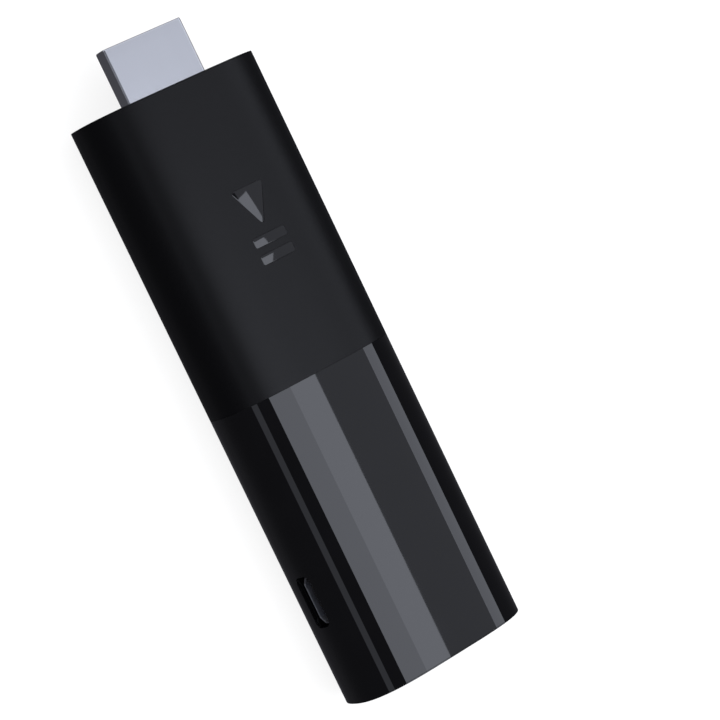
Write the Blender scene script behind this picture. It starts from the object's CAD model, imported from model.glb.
"""The looks of a stick-shaped streaming media player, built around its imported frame.

Sizes are in millimetres, in the body's own axes: x across, y along with the plug at +y, z out of the front.
x = z = 0 is the body's middle line, and y = 0 the seam between its matte and its glossy sleeve.
"""

from math import cos, pi, radians, sin, tan

import bmesh
import bpy
import numpy as np
from mathutils import Matrix, Vector


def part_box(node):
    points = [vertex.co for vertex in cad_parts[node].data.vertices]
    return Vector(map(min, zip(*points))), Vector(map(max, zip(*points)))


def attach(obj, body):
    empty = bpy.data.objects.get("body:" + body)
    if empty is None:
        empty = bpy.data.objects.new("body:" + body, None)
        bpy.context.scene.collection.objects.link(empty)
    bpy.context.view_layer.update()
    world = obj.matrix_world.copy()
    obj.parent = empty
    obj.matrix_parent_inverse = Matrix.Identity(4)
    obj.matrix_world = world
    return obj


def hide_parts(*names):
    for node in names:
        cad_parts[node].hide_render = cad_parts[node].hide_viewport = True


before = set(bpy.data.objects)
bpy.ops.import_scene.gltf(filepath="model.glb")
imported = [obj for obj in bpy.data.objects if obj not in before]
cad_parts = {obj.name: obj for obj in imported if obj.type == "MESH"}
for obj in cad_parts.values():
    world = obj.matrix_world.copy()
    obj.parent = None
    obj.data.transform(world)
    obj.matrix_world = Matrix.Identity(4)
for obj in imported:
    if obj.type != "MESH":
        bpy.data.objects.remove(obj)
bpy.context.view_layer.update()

MM = 0.001

# ---------------------------------------------------------------------------
# Sizes from the frame
# ---------------------------------------------------------------------------


def box_in_part(node):
    """Lowest and highest corner of a CAD node, in millimetres, in the part's own frame."""
    low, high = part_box(node)
    return low / MM, high / MM


MATTE_LOW, MATTE_HIGH = box_in_part("matte_sleeve")
GLOSS_LOW, GLOSS_HIGH = box_in_part("gloss_sleeve")
HALF_WIDTH = (MATTE_HIGH.x - MATTE_LOW.x) / 2
HALF_THICKNESS = (MATTE_HIGH.z - MATTE_LOW.z) / 2
ORIGIN = Vector((0, (MATTE_LOW.y + GLOSS_HIGH.y) / 2, (MATTE_LOW.z + MATTE_HIGH.z) / 2))


def box(node):
    """Lowest and highest corner of a CAD node, in the body's own axes."""
    low, high = box_in_part(node)
    return low - ORIGIN, high - ORIGIN


END_Y = box("plug_end_cap")[1].y
CAP_JOINT = box("matte_sleeve")[1].y + box("matte_sleeve")[0].y
FIT_GAP = 0.05

# The section is a superellipse, |x/a|^3.63 + |z/b|^2.49 = 1.
SIDE_POWER = 3.63
FACE_POWER = 2.49
SECTION_POINTS = 360
WALL = 1.3
SKIRT_WALL = 1.0
SKIRT_LENGTH = 3.0
CAP_WALL = 1.0
JOINT_GAP = 0.012  # half of the hairline between two pieces of the casing
JOINT_ROUND = 0.015
END_ROUND = 0.07

PLUG_LOW, PLUG_HIGH = box("hdmi_shell")
PLUG_NARROW = 10.2
PLUG_SIDE_DROP = 2.55
PLUG_ROUND = 0.42
PLUG_BOW = 0.04  # the side walls stand out by this much at half their height
PLUG_SHEET = 0.3
PLUG_LIP = 0.28
PLUG_LIP_IN = 0.18
PLUG_BORE = 0.2
COLLAR_WALL = 0.9
COLLAR_DEPTH = 2.6

SIGN_LOW, SIGN_HIGH = box("sign_inlay")
SIGN_BORDER = 0.9
SIGN_PLATE = 0.6
SIGN_BAR = 1.5
SIGN_GAP = 1.15
SIGN_ROUND = 0.35
SIGN_FIT = 0.02

USB_LOW, USB_HIGH = box("usb_shell")
USB_NARROW = 5.6
USB_DROP = 1.3
USB_SHEET = 0.25
USB_OPENING = (8.1, 3.1, 1.0)

# ---------------------------------------------------------------------------
# The body's section
# ---------------------------------------------------------------------------


def outline_point(angle):
    """A point of the section at this angle of its formula, as x and z."""
    c, s = np.cos(angle), np.sin(angle)
    x = HALF_WIDTH * np.sign(c) * np.abs(c) ** (2 / SIDE_POWER)
    z = HALF_THICKNESS * np.sign(s) * np.abs(s) ** (2 / FACE_POWER)
    return x, z


def outline_normal(x, z):
    """The outward normal of the section at x and z."""
    nx = SIDE_POWER / HALF_WIDTH * np.sign(x) * np.abs(x / HALF_WIDTH) ** (SIDE_POWER - 1)
    nz = FACE_POWER / HALF_THICKNESS * np.sign(z) * np.abs(z / HALF_THICKNESS) ** (FACE_POWER - 1)
    length = np.hypot(nx, nz)
    return nx / length, nz / length


def side_x(z):
    """Distance of the side face from the middle line, at height z."""
    return HALF_WIDTH * (1 - abs(z / HALF_THICKNESS) ** FACE_POWER) ** (1 / SIDE_POWER)


def even_section():
    """The section's points, evenly spaced, and their normals."""
    angles = np.linspace(0, 2 * pi, 20001)
    x, z = outline_point(angles)
    run = np.concatenate([[0], np.cumsum(np.hypot(np.diff(x), np.diff(z)))])
    spaced = np.interp(np.linspace(0, run[-1], SECTION_POINTS, endpoint=False), run, angles)
    x, z = outline_point(spaced)
    return np.stack([x, z], 1), np.stack(outline_normal(x, z), 1)


SECTION, SECTION_NORMALS = even_section()


def section_ring(y, inset):
    """One ring of the body's section at y, moved in by inset."""
    points = SECTION - SECTION_NORMALS * inset
    return [(x, y, z) for x, z in points]


def rounded_end(y, direction, radius, inset=0.0, steps=5):
    """(y, inset) pairs round an edge, from the end face at y to the long surface."""
    angles = [pi / 2 * i / steps for i in range(steps + 1)]
    return [(y - direction * radius * (1 - cos(a)), inset + radius * (1 - sin(a))) for a in angles]


# ---------------------------------------------------------------------------
# Outlines and meshes
# ---------------------------------------------------------------------------


def rounded(corners, radius, steps=8, longest=0.0):
    """A closed outline with rounded corners. Edges over the longest length, if it is given, are divided."""
    points = []
    for i, corner in enumerate(corners):
        corner = Vector(corner)
        back = (Vector(corners[i - 1]) - corner).normalized()
        ahead = (Vector(corners[(i + 1) % len(corners)]) - corner).normalized()
        half_angle = back.angle(ahead) / 2
        run = radius / tan(half_angle)
        centre = corner + (back + ahead).normalized() * radius / sin(half_angle)
        start = corner + back * run - centre
        turn = pi - 2 * half_angle
        sense = 1 if start.cross(corner + ahead * run - centre) > 0 else -1
        for k in range(steps + 1):
            points.append(centre + start @ Matrix.Rotation(-sense * turn * k / steps, 2))
    if not longest:
        return points
    divided = []
    for i, point in enumerate(points):
        after = points[(i + 1) % len(points)]
        pieces = max(1, int(np.ceil((after - point).length / longest)))
        divided += [point.lerp(after, k / pieces) for k in range(pieces)]
    return divided


def rectangle(centre, width, height):
    u, v = centre
    return [
        (u - width / 2, v - height / 2),
        (u + width / 2, v - height / 2),
        (u + width / 2, v + height / 2),
        (u - width / 2, v + height / 2),
    ]


def grown(outline, by):
    """The outline with each point moved out by that distance, along its own normal."""
    area = sum(outline[i - 1].cross(outline[i]) for i in range(len(outline)))
    sense = 1 if area > 0 else -1
    moved = []
    for i, point in enumerate(outline):
        before = (point - outline[i - 1]).normalized()
        after = (outline[(i + 1) % len(outline)] - point).normalized()
        normals = [Vector((edge.y, -edge.x)) * sense for edge in (before, after)]
        middle = (normals[0] + normals[1]).normalized()
        moved.append(point + middle * by / max(0.3, middle.dot(normals[0])))
    return moved


def loft(rings, closed=False):
    """A closed skin through rings of equally many points.

    Closed joins the last ring to the first; otherwise the first and last ring become faces.
    """
    count = len(rings[0])
    mesh = bmesh.new()
    made = [[mesh.verts.new(point) for point in ring] for ring in rings]
    pairs = list(zip(made, made[1:]))
    if closed:
        pairs.append((made[-1], made[0]))
    else:
        mesh.faces.new(made[0])
        mesh.faces.new(made[-1])
    for first, second in pairs:
        for i in range(count):
            j = (i + 1) % count
            mesh.faces.new((first[i], first[j], second[j], second[i]))
    bmesh.ops.recalc_face_normals(mesh, faces=mesh.faces)
    return mesh


def body_loft(profile, closed=False):
    """A skin of the body's section along (y, inset) pairs."""
    return loft([section_ring(y, inset) for y, inset in profile], closed)


def prism(outline, levels, place):
    """A skin of an outline at each (grow, height) level. Place turns u, v and height into a point."""
    rings = [[place(p.x, p.y, height) for p in grown(outline, grow)] for grow, height in levels]
    return loft(rings)


def along_x(u, v, height):
    return (height, u, v)


def along_y(u, v, height):
    return (u, height, v)


def along_z(u, v, height):
    return (u, v, height)


def to_object(name, mesh):
    data = bpy.data.meshes.new(name)
    mesh.to_mesh(data)
    mesh.free()
    made = bpy.data.objects.new(name, data)
    bpy.context.scene.collection.objects.link(made)
    return made


def combine(target, mesh, operation):
    """Cuts the mesh out of the object, or joins it on."""
    tool = to_object("tool", mesh)
    modifier = target.modifiers.new("boolean", "BOOLEAN")
    modifier.object = tool
    modifier.operation = operation
    modifier.solver = "EXACT"
    depsgraph = bpy.context.evaluated_depsgraph_get()
    result = bpy.data.meshes.new_from_object(target.evaluated_get(depsgraph))
    target.modifiers.clear()
    target.data = result
    bpy.data.objects.remove(tool)


def shade(piece, skin=None, angle=32):
    """Smooth shading that keeps sharp edges.

    Skin is the y range where the body's outside takes its true normals.
    """
    mesh = piece.data
    mesh.shade_smooth()
    mesh.set_sharp_from_angle(angle=radians(angle))
    if skin is None:
        return
    corners = np.zeros(len(mesh.loops) * 3, np.float32)
    mesh.corner_normals.foreach_get("vector", corners)
    corners = corners.reshape(-1, 3)
    places = np.zeros(len(mesh.vertices) * 3, np.float32)
    mesh.vertices.foreach_get("co", places)
    x, y, z = places.reshape(-1, 3).T
    level = np.abs(x / HALF_WIDTH) ** SIDE_POWER + np.abs(z / HALF_THICKNESS) ** FACE_POWER
    outside = (np.abs(level - 1) < 0.002) & (y > skin[0] - 0.001) & (y < skin[1] + 0.001)
    for face in mesh.polygons:
        if all(outside[i] for i in face.vertices):
            for loop in face.loop_indices:
                vertex = mesh.loops[loop].vertex_index
                nx, nz = outline_normal(x[vertex], z[vertex])
                corners[loop] = (nx, 0, nz)
    mesh.normals_split_custom_set(corners.tolist())


def finish_piece(piece, material, slot, *nodes):
    """Puts a piece in the part's frame, with its finish, its body and the CAD nodes that it stands for."""
    piece.data.transform(Matrix.Scale(MM, 4) @ Matrix.Translation(ORIGIN))
    piece.data.materials.clear()
    piece.data.materials.append(material)
    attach(piece, "root")
    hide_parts(*nodes)


# ---------------------------------------------------------------------------
# Materials
# ---------------------------------------------------------------------------


def noise(tree, size, detail=2.0, stretch=(1, 1, 1)):
    """A noise whose blotches are about size millimetres across, drawn out by stretch."""
    coordinates = tree.nodes.new("ShaderNodeTexCoord")
    mapping = tree.nodes.new("ShaderNodeMapping")
    mapping.inputs["Scale"].default_value = [1 / (size * MM * share) for share in stretch]
    texture = tree.nodes.new("ShaderNodeTexNoise")
    texture.inputs["Scale"].default_value = 1.0
    texture.inputs["Detail"].default_value = detail
    tree.links.new(coordinates.outputs["Object"], mapping.inputs["Vector"])
    tree.links.new(mapping.outputs["Vector"], texture.inputs["Vector"])
    return texture.outputs["Fac"]


def ranged(tree, value, low, high):
    """The noise's middle range, spread from low to high."""
    node = tree.nodes.new("ShaderNodeMapRange")
    node.inputs["From Min"].default_value = 0.3
    node.inputs["From Max"].default_value = 0.7
    node.inputs["To Min"].default_value = low
    node.inputs["To Max"].default_value = high
    tree.links.new(value, node.inputs["Value"])
    return node.outputs["Result"]


def mixed(tree, factor, first, second):
    """A colour between two, each a colour or another node's output."""
    node = tree.nodes.new("ShaderNodeMix")
    node.data_type = "RGBA"
    factor_in, first_in, second_in = node.inputs[0], node.inputs[6], node.inputs[7]
    tree.links.new(factor, factor_in)
    for colour, socket in ((first, first_in), (second, second_in)):
        if isinstance(colour, bpy.types.NodeSocket):
            tree.links.new(colour, socket)
        else:
            socket.default_value = (*colour, 1)
    return node.outputs[2]


def bumped(tree, shader, height, depth, under=None):
    """A bump of that depth in millimetres, on top of another bump's normal."""
    node = tree.nodes.new("ShaderNodeBump")
    node.inputs["Strength"].default_value = 1.0
    node.inputs["Distance"].default_value = depth * MM
    tree.links.new(height, node.inputs["Height"])
    if under is not None:
        tree.links.new(under, node.inputs["Normal"])
    tree.links.new(node.outputs["Normal"], shader.inputs["Normal"])
    return node.outputs["Normal"]


def surface(
    name,
    colour,
    roughness,
    metallic=0.0,
    specular=0.5,
    mottle=(4.0, 0.12),
    swing=(2.0, 0.04),
    grain=(0.15, 0.003),
    wave=None,
    stretch=(1, 1, 1),
):
    """A material whose colour, roughness and surface vary.

    Mottle is the size and share of the colour's blotches, and swing the size and amount of the roughness's.
    Grain and wave are the spacing and depth of a fine and a broad bump.
    """
    material = bpy.data.materials.new(name)
    material.use_nodes = True
    tree = material.node_tree
    shader = tree.nodes["Principled BSDF"]
    shader.inputs["Metallic"].default_value = metallic
    shader.inputs["Specular IOR Level"].default_value = specular
    size, share = mottle
    dark = [c * (1 - share) for c in colour]
    pale = [min(1.0, c * (1 + share)) for c in colour]
    blotches = ranged(tree, noise(tree, size, 3.0, stretch), 0, 1)
    tree.links.new(mixed(tree, blotches, dark, pale), shader.inputs["Base Color"])
    size, amount = swing
    uneven = ranged(tree, noise(tree, size, 3.0, stretch), roughness - amount, roughness + amount)
    tree.links.new(uneven, shader.inputs["Roughness"])
    normal = None
    for bump in (wave, grain):
        if bump:
            normal = bumped(tree, shader, noise(tree, bump[0], 2.0, stretch), bump[1], normal)
    return material


LENGTHWISE = (1, 30, 1)
ACROSS = (25, 1, 1)

matte_plastic = surface(
    "matte_plastic",
    (0.0011, 0.0011, 0.0014),
    0.38,
    specular=0.20,
    mottle=(0.5, 0.10),
    swing=(0.4, 0.02),
    grain=(0.16, 0.0025),
    wave=(9.0, 0.004),
)
plug_cap_plastic = surface(
    "plug_cap_plastic",
    (0.0014, 0.0014, 0.0017),
    0.38,
    specular=0.20,
    mottle=(0.5, 0.10),
    swing=(0.4, 0.02),
    grain=(0.16, 0.0025),
)
gloss_plastic = surface(
    "gloss_plastic",
    (0.0012, 0.0012, 0.0015),
    0.016,
    mottle=(6.0, 0.15),
    swing=(5.0, 0.004),
    grain=None,
    wave=(14.0, 0.0012),
)
satin_plastic = surface(
    "satin_plastic",
    (0.0060, 0.0060, 0.0066),
    0.32,
    mottle=(0.6, 0.10),
    swing=(0.6, 0.04),
    grain=(0.20, 0.003),
)
sign_plastic = surface(
    "sign_plastic",
    (0.0016, 0.0016, 0.0020),
    0.04,
    mottle=(2.0, 0.15),
    swing=(1.2, 0.01),
    grain=None,
)
inner_plastic = surface(
    "inner_plastic",
    (0.012, 0.012, 0.013),
    0.62,
    mottle=(1.5, 0.18),
    grain=(0.25, 0.008),
)
plug_steel = surface(
    "plug_steel",
    (0.66, 0.67, 0.70),
    0.11,
    metallic=1.0,
    mottle=(1.2, 0.01),
    swing=(0.8, 0.01),
    grain=(0.03, 0.00005),
    stretch=LENGTHWISE,
)
socket_steel = surface(
    "socket_steel",
    (0.45, 0.46, 0.49),
    0.30,
    metallic=1.0,
    mottle=(1.0, 0.05),
    grain=(0.04, 0.0005),
    stretch=ACROSS,
)
connector_plastic = surface(
    "connector_plastic",
    (0.016, 0.016, 0.017),
    0.48,
    mottle=(0.8, 0.15),
    grain=(0.12, 0.003),
)
contact_gold = surface(
    "contact_gold",
    (0.78, 0.53, 0.20),
    0.22,
    metallic=1.0,
    mottle=(0.6, 0.08),
    grain=(0.05, 0.0004),
    stretch=LENGTHWISE,
)
shield_tin = surface(
    "shield_tin",
    (0.52, 0.53, 0.54),
    0.34,
    metallic=1.0,
    mottle=(2.0, 0.10),
    swing=(1.2, 0.08),
    grain=(0.08, 0.0008),
    wave=(4.0, 0.01),
)
spreader_aluminium = surface(
    "spreader_aluminium",
    (0.60, 0.61, 0.63),
    0.40,
    metallic=1.0,
    mottle=(3.0, 0.06),
    grain=(0.06, 0.0015),
    stretch=LENGTHWISE,
)
thermal_pad = surface(
    "thermal_pad",
    (0.24, 0.30, 0.36),
    0.88,
    mottle=(0.35, 0.22),
    grain=(0.4, 0.02),
)
ferrite = surface(
    "ferrite",
    (0.060, 0.060, 0.062),
    0.60,
    mottle=(0.25, 0.30),
    grain=(0.12, 0.01),
)
capacitor_ceramic = surface(
    "capacitor_ceramic",
    (0.46, 0.34, 0.19),
    0.55,
    mottle=(0.4, 0.15),
    grain=(0.15, 0.006),
)
chip_resin = surface(
    "chip_resin",
    (0.014, 0.014, 0.015),
    0.50,
    mottle=(0.3, 0.20),
    grain=(0.10, 0.004),
)


def board_material():
    """Green solder mask over copper runs, which stand a little above the glass cloth."""
    material = surface("board_mask", (0.012, 0.075, 0.030), 0.30, mottle=(2.0, 0.12), grain=(0.3, 0.001))
    tree = material.node_tree
    shader = tree.nodes["Principled BSDF"]
    coordinates = tree.nodes.new("ShaderNodeTexCoord")
    runs = tree.nodes.new("ShaderNodeTexBrick")
    runs.inputs["Scale"].default_value = 1 / (1.6 * MM)
    runs.inputs["Mortar Size"].default_value = 0.09
    runs.inputs["Mortar Smooth"].default_value = 0.3
    runs.inputs["Brick Width"].default_value = 2.4
    runs.inputs["Row Height"].default_value = 0.5
    tree.links.new(coordinates.outputs["Object"], runs.inputs["Vector"])
    plain = shader.inputs["Base Color"].links[0].from_socket
    tracks = mixed(tree, runs.outputs["Fac"], plain, (0.030, 0.140, 0.045))
    tree.links.new(tracks, shader.inputs["Base Color"])
    under = shader.inputs["Normal"].links[0].from_socket
    bumped(tree, shader, runs.outputs["Fac"], 0.03, under)
    return material


board_mask = board_material()

# ---------------------------------------------------------------------------
# The casing
# ---------------------------------------------------------------------------


def lengths(start, end, step):
    """Evenly spaced places between two, both left out."""
    count = max(1, round(abs(end - start) / step))
    return [start + (end - start) * i / count for i in range(1, count)]


SLEEVE_LOW = JOINT_GAP
SLEEVE_HIGH = CAP_JOINT - JOINT_GAP
SLEEVE_SKIN = (SLEEVE_LOW + JOINT_ROUND, SLEEVE_HIGH - JOINT_ROUND)


def sleeve(name, direction):
    """A tube of the body's section, from the seam towards +y or -y, with finely rounded outer edges."""
    first = rounded_end(SLEEVE_LOW, -1, JOINT_ROUND, steps=3)
    last = rounded_end(SLEEVE_HIGH, 1, JOINT_ROUND, steps=3)
    straight = [(y, 0) for y in lengths(*SLEEVE_SKIN, 2.0)]
    inner = [(SLEEVE_HIGH, WALL), (SLEEVE_LOW, WALL)]
    profile = first + straight + last[::-1] + inner
    return to_object(name, body_loft([(direction * y, inset) for y, inset in profile], closed=True))


def sign_outlines():
    """A play triangle and two pause bars in x and y, which read with +x up and the plug at their left."""
    middle = (SIGN_LOW + SIGN_HIGH) / 2
    half_height = (SIGN_HIGH.x - SIGN_LOW.x) / 2 - SIGN_BORDER
    first = SIGN_HIGH.y - SIGN_BORDER
    last = SIGN_LOW.y + SIGN_BORDER
    tip = last + 2 * (SIGN_BAR + SIGN_GAP)
    low, high = middle.x - half_height, middle.x + half_height
    corners = [[(low, first), (middle.x, tip), (high, first)]]
    for step in (1, 2):
        bar_middle = tip - step * SIGN_GAP - (step - 0.5) * SIGN_BAR
        corners.append(rectangle((middle.x, bar_middle), 2 * half_height, SIGN_BAR))
    return [rounded(outline, SIGN_ROUND) for outline in corners]


def make_matte_sleeve():
    piece = sleeve("matte_casing", 1)
    chamfer = 0.025
    top = HALF_THICKNESS - chamfer
    for outline in sign_outlines():
        levels = [(SIGN_FIT, 0), (SIGN_FIT, top), (SIGN_FIT + 2 * chamfer, top + 2 * chamfer), (0.1, 9)]
        combine(piece, prism(outline, levels, along_z), "DIFFERENCE")
    shade(piece, SLEEVE_SKIN)
    finish_piece(piece, matte_plastic, "matte_casing", "matte_sleeve")


def make_sign():
    """A plate behind the wall, with the sign's three shapes standing on it into the wall's windows."""
    middle = (SIGN_LOW + SIGN_HIGH) / 2
    size = SIGN_HIGH - SIGN_LOW
    plate_top = SIGN_LOW.z + SIGN_PLATE
    corners = rectangle((middle.x, middle.y), size.x, size.y)
    edge = 0.02
    levels = [(0, SIGN_LOW.z), (0, plate_top - edge), (-edge, plate_top)]
    plate = prism(rounded(corners, SIGN_ROUND), levels, along_z)
    piece = to_object("play_pause_sign", plate)
    for outline in sign_outlines():
        top = SIGN_HIGH.z
        levels = [(0, SIGN_LOW.z + edge)]
        levels += [(-edge * (1 - cos(a)), top - edge * (1 - sin(a))) for a in np.linspace(0, pi / 2, 5)]
        combine(piece, prism(outline, levels, along_z), "UNION")
    shade(piece, angle=15)
    finish_piece(piece, sign_plastic, "sign", "sign_inlay")


def make_gloss_sleeve():
    piece = sleeve("gloss_casing", -1)
    width, height, corner = USB_OPENING
    middle = ((USB_LOW.y + USB_HIGH.y) / 2, (USB_LOW.z + USB_HIGH.z) / 2)
    outline = rounded(rectangle(middle, width, height), corner, longest=0.25)

    def from_side(u, v, depth):
        return (-side_x(v) + depth, u, v)

    levels = [(0, 3.0), (0, 0.04), (0.02, 0.01), (0.06, -0.02), (0.3, -1.0)]
    combine(piece, prism(outline, levels, from_side), "DIFFERENCE")
    shade(piece, [-y for y in SLEEVE_SKIN[::-1]])
    finish_piece(piece, gloss_plastic, "gloss_casing", "gloss_sleeve")


def cap_profile(direction):
    """(y, inset) pairs of a cap: its outer face, the flange's rim, and the skirt inside the sleeve."""
    joint = CAP_JOINT + JOINT_GAP
    skirt = CAP_JOINT - SKIRT_LENGTH
    seat = WALL + FIT_GAP
    floor = END_Y - CAP_WALL
    pairs = [(END_Y, 5.0), (END_Y, 1.0)]
    pairs += rounded_end(END_Y, 1, END_ROUND, steps=5)
    pairs += rounded_end(joint, -1, JOINT_ROUND, steps=3)[::-1]
    pairs += [(joint, seat), (skirt, seat)]
    pairs += [(skirt, seat + SKIRT_WALL), (floor, seat + SKIRT_WALL), (floor, 5.0)]
    return [(direction * y, inset) for y, inset in pairs]


CAP_SKIN = (CAP_JOINT + JOINT_GAP + JOINT_ROUND, END_Y - END_ROUND)


def polish_rim(piece):
    """The cap's rim is as glossy as the sleeve that it closes."""
    piece.data.materials.append(gloss_plastic)
    for face in piece.data.polygons:
        if abs(face.normal.y) < 0.5:
            face.material_index = 1


def make_end_cap():
    piece = to_object("closed_end_cap", body_loft(cap_profile(-1)))
    shade(piece, [-y for y in CAP_SKIN[::-1]])
    finish_piece(piece, satin_plastic, "end_cap", "end_cap")
    polish_rim(piece)


def plug_outline():
    """The plug's section in x and z: a wide top and a narrower bottom."""
    half = PLUG_HIGH.x
    top = PLUG_HIGH.z
    narrow = PLUG_NARROW / 2
    side = top - PLUG_SIDE_DROP
    wall = half - PLUG_BOW
    middle = (side + top) / 2
    corners = [(-wall, side), (-narrow, -top), (narrow, -top), (wall, side), (half, middle), (wall, top)]
    corners += [(-wall, top), (-half, middle)]
    return rounded(corners, PLUG_ROUND, longest=0.4)


def make_plug_cap():
    piece = to_object("plug_end_face", body_loft(cap_profile(1)))
    outline = plug_outline()
    outer = PLUG_BORE + COLLAR_WALL
    collar = prism(outline, [(outer, END_Y - COLLAR_DEPTH), (outer, END_Y - 0.2)], along_y)
    combine(piece, collar, "UNION")
    edge = 0.12
    levels = [(PLUG_BORE, END_Y - 2 * SKIRT_LENGTH), (PLUG_BORE, END_Y - edge)]
    levels += [(PLUG_BORE + 2 * edge, END_Y + edge), (PLUG_BORE + 2 * edge, END_Y + 1)]
    combine(piece, prism(outline, levels, along_y), "DIFFERENCE")
    shade(piece, CAP_SKIN)
    finish_piece(piece, plug_cap_plastic, "plug_end_cap", "plug_end_cap")


# ---------------------------------------------------------------------------
# Plug and socket
# ---------------------------------------------------------------------------


def make_plug_shell():
    """Folded sheet with a lip that is rolled in a little, and its seam along the bottom."""
    tip, rear = PLUG_HIGH.y - 0.001, PLUG_LOW.y
    lip = tip - PLUG_LIP
    around = [pi / 2 * i / 8 for i in range(9)]
    outside = [(rear, 0)] + [(y, 0) for y in lengths(rear, lip, 1.5)]
    outside += [(lip + PLUG_LIP * sin(a), -PLUG_LIP_IN * (1 - cos(a))) for a in around]
    inside = [(tip - 0.04, -PLUG_SHEET + 0.03), (tip - 0.14, -PLUG_SHEET), (rear, -PLUG_SHEET)]
    outline = plug_outline()
    rings = [[along_y(p.x, p.y, y) for p in grown(outline, grow)] for y, grow in outside + inside]
    piece = to_object("plug_shell", loft(rings, closed=True))
    groove = 0.035
    under = PLUG_LOW.z
    key = [(-groove, rear - 1), (groove, rear - 1), (groove, tip + 1), (-groove, tip + 1)]
    seam = prism([Vector(p) for p in key], [(0, under - 1), (0, under + 0.12)], along_z)
    combine(piece, seam, "DIFFERENCE")
    shade(piece, angle=40)
    finish_piece(piece, plug_steel, "connector_shell", "hdmi_shell")


def make_usb_shell():
    """The socket's shell, narrow at the board, with a rounded mouth."""
    middle = (USB_LOW.y + USB_HIGH.y) / 2
    half = (USB_HIGH.y - USB_LOW.y) / 2
    narrow = USB_NARROW / 2
    low, high = USB_LOW.z, USB_HIGH.z
    side = high - USB_DROP
    corners = [
        (middle - narrow, low),
        (middle + narrow, low),
        (middle + half, side),
        (middle + half, high),
        (middle - half, high),
        (middle - half, side),
    ]
    outline = rounded(corners, 0.35)
    mouth, rear = USB_LOW.x, USB_HIGH.x
    lip = USB_SHEET / 2
    around = [pi * i / 6 for i in range(7)]
    profile = [(rear, 0)]
    profile += [(mouth + lip - lip * sin(a), -lip * (1 - cos(a))) for a in around]
    profile += [(rear, -USB_SHEET)]
    rings = [[along_x(p.x, p.y, x) for p in grown(outline, grow)] for x, grow in profile]
    piece = to_object("usb_socket_shell", loft(rings, closed=True))
    shade(piece, angle=40)
    finish_piece(piece, socket_steel, "connector_shell", "usb_shell")


# ---------------------------------------------------------------------------
# CAD nodes that stay, with their finish and finely bevelled edges
# ---------------------------------------------------------------------------

KEPT = [
    (("joint_ring", "upper_carrier", "lower_carrier"), inner_plastic, 0.05),
    (("hdmi_insulator", "usb_tongue"), connector_plastic, 0.03),
    (("hdmi_contact_", "usb_contact_"), contact_gold, 0.03),
    (("main_board",), board_mask, 0.0),
    (("processor", "memory_chip_", "flash_chip", "power_chip", "hdmi_guard_chip"), chip_resin, 0.06),
    (("power_inductor_",), ferrite, 0.12),
    (("input_capacitor",), capacitor_ceramic, 0.15),
    (("radio_module", "clock_crystal", "upper_shield", "lower_shield"), shield_tin, 0.08),
    (("left_antenna", "right_antenna"), shield_tin, 0.0),
    (("processor_pad", "upper_thermal_pad", "lower_thermal_pad"), thermal_pad, 0.08),
    (("upper_heat_spreader", "lower_heat_spreader"), spreader_aluminium, 0.08),
]


def dress(node, material, bevel):
    """Gives a CAD node its finish. Its mesh stays as it is under the modifiers."""
    for slot in node.material_slots:
        slot.link = "OBJECT"
        slot.material = material
    if not bevel:
        return
    weld = node.modifiers.new("weld", "WELD")
    weld.merge_threshold = 0.002 * MM
    edges = node.modifiers.new("bevel", "BEVEL")
    edges.width = bevel * MM
    edges.segments = 2
    edges.limit_method = "ANGLE"
    edges.angle_limit = radians(40)
    edges.harden_normals = False


def is_meant(name, prefixes):
    """True for a name in the list, or one that starts with an entry ending in an underscore."""
    return any(name == prefix or (prefix.endswith("_") and name.startswith(prefix)) for prefix in prefixes)


def dress_kept_nodes():
    for prefixes, material, bevel in KEPT:
        for name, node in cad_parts.items():
            if is_meant(name, prefixes):
                dress(node, material, bevel)


# ---------------------------------------------------------------------------
# Camera
# ---------------------------------------------------------------------------

# The camera looks down on the front from the left, turned so that the plug points up and to the left.
CAMERA_TARGET = Vector((10.4, -2.1, 0))
CAMERA_DISTANCE = 380.2
CAMERA_SWING = radians(28.16)  # from straight above towards -x
CAMERA_TILT = radians(4.9)  # towards the plug
CAMERA_ROLL = radians(-25.6)
CAMERA_LENS = 127.3


def camera_axes():
    """The camera's right, up and back directions."""
    level = cos(CAMERA_TILT)
    back = Vector((-sin(CAMERA_SWING) * level, sin(CAMERA_TILT), cos(CAMERA_SWING) * level))
    level_up = (Vector((0, 1, 0)) - back * back.y).normalized()
    level_right = level_up.cross(back)
    right = level_right * cos(CAMERA_ROLL) + level_up * sin(CAMERA_ROLL)
    return right, back.cross(right), back


CAMERA_RIGHT, CAMERA_UP, CAMERA_BACK = camera_axes()
CAMERA_PLACE = CAMERA_TARGET + CAMERA_BACK * CAMERA_DISTANCE


def make_camera():
    data = bpy.data.cameras.new("camera")
    data.lens = CAMERA_LENS
    data.sensor_width = 36
    data.clip_start = 0.01
    data.clip_end = 20
    camera = bpy.data.objects.new("camera", data)
    bpy.context.scene.collection.objects.link(camera)
    turn = Matrix((CAMERA_RIGHT, CAMERA_UP, CAMERA_BACK)).transposed().to_4x4()
    camera.matrix_world = Matrix.Translation((CAMERA_PLACE + ORIGIN) * MM) @ turn
    bpy.context.scene.camera = camera


# ---------------------------------------------------------------------------
# Studio: four softboxes, a soft light from above, a dim room and a pale floor
# ---------------------------------------------------------------------------

# Lengths in this section are in metres.
SOFTBOX_DISTANCE = 0.6
SOFTBOX_COLOUR = (0.90, 0.94, 1.06)
ROOM = (0.08, 0.08, 0.09)
SOFTBOXES = {
    # name: (degrees from straight above towards +x, centre in y, width, length, watts)
    "main_softbox": (12.5, -0.275, 0.30, 0.65, 1.55),
    "fill_softbox": (31.5, 0.0, 0.27, 1.20, 0.66),
    "edge_softbox": (50.5, 0.0, 0.14, 0.90, 0.85),
    "left_softbox": (-28.0, 0.0, 0.13, 0.90, 0.22),
}


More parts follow.
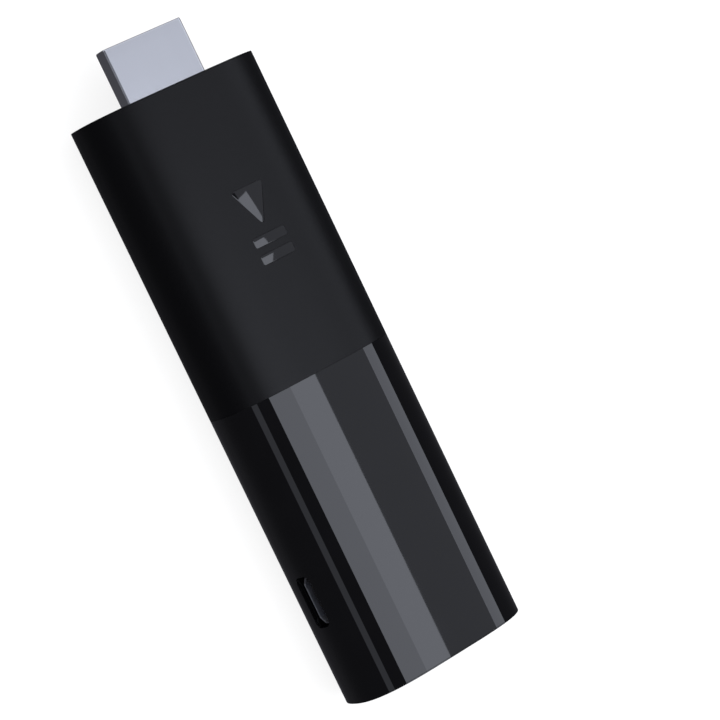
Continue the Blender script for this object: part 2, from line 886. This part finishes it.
def make_softboxes():
    """Plain rectangular lights along the body, which light every piece alike."""
    for name, (angle, centre, width, length, watts) in SOFTBOXES.items():
        data = bpy.data.lights.new(name, "AREA")
        data.shape = "RECTANGLE"
        data.size = width
        data.size_y = length
        data.energy = watts
        data.color = SOFTBOX_COLOUR
        light = bpy.data.objects.new(name, data)
        place = Matrix.Translation(ORIGIN * MM + Vector((0, centre, 0)))
        turn = Matrix.Rotation(radians(angle), 4, "Y")
        light.matrix_world = place @ turn @ Matrix.Translation((0, 0, SOFTBOX_DISTANCE))
        bpy.context.scene.collection.objects.link(light)


def end_windows(tree):
    """A dim room with soft light beyond both ends of the body, high above the floor."""
    coordinates = tree.nodes.new("ShaderNodeTexCoord")
    parts = tree.nodes.new("ShaderNodeSeparateXYZ")
    tree.links.new(coordinates.outputs["Generated"], parts.inputs["Vector"])
    along = tree.nodes.new("ShaderNodeMath")
    along.operation = "ABSOLUTE"
    tree.links.new(parts.outputs["Y"], along.inputs[0])
    shares = []
    for value, start, end in ((along.outputs[0], 0.36, 0.95), (parts.outputs["Z"], -0.05, 0.45)):
        share = tree.nodes.new("ShaderNodeMapRange")
        share.interpolation_type = "SMOOTHSTEP"
        share.inputs["From Min"].default_value = start
        share.inputs["From Max"].default_value = end
        tree.links.new(value, share.inputs["Value"])
        shares.append(share.outputs["Result"])
    both = tree.nodes.new("ShaderNodeMath")
    both.operation = "MULTIPLY"
    tree.links.new(shares[0], both.inputs[0])
    tree.links.new(shares[1], both.inputs[1])
    return mixed(tree, both.outputs[0], ROOM, (0.90, 0.92, 1.0))


def make_studio():
    bpy.ops.mesh.primitive_grid_add(x_subdivisions=2, y_subdivisions=2, size=12)
    floor = bpy.context.object
    floor.name = "floor"
    floor.visible_glossy = False
    paper = bpy.data.materials.new("floor_paper")
    paper.use_nodes = True
    shader = paper.node_tree.nodes["Principled BSDF"]
    shader.inputs["Base Color"].default_value = (0.16, 0.16, 0.16, 1)
    shader.inputs["Roughness"].default_value = 0.9
    shader.inputs["Specular IOR Level"].default_value = 0.0
    shader.inputs["Emission Color"].default_value = (1, 1, 1, 1)
    shader.inputs["Emission Strength"].default_value = 0.84
    floor.data.materials.append(paper)

    data = bpy.data.lights.new("sky", "SUN")
    data.energy = 3.7
    data.angle = radians(110)
    sky = bpy.data.objects.new("sky", data)
    sky.visible_glossy = False
    bpy.context.scene.collection.objects.link(sky)

    world = bpy.data.worlds.new("studio")
    bpy.context.scene.world = world
    world.use_nodes = True
    tree = world.node_tree
    tree.nodes.clear()
    path = tree.nodes.new("ShaderNodeLightPath")
    seen = tree.nodes.new("ShaderNodeBackground")
    seen.inputs["Color"].default_value = (1, 1, 1, 1)
    dim = tree.nodes.new("ShaderNodeBackground")
    tree.links.new(end_windows(tree), dim.inputs["Color"])
    choose = tree.nodes.new("ShaderNodeMixShader")
    output = tree.nodes.new("ShaderNodeOutputWorld")
    tree.links.new(path.outputs["Is Camera Ray"], choose.inputs["Fac"])
    tree.links.new(dim.outputs["Background"], choose.inputs[1])
    tree.links.new(seen.outputs["Background"], choose.inputs[2])
    tree.links.new(choose.outputs["Shader"], output.inputs["Surface"])
    bpy.context.scene.view_settings.view_transform = "Standard"


make_matte_sleeve()
make_sign()
make_gloss_sleeve()
make_end_cap()
make_plug_cap()
make_plug_shell()
make_usb_shell()
dress_kept_nodes()
make_camera()
make_softboxes()
make_studio()

bpy.context.view_layer.update()
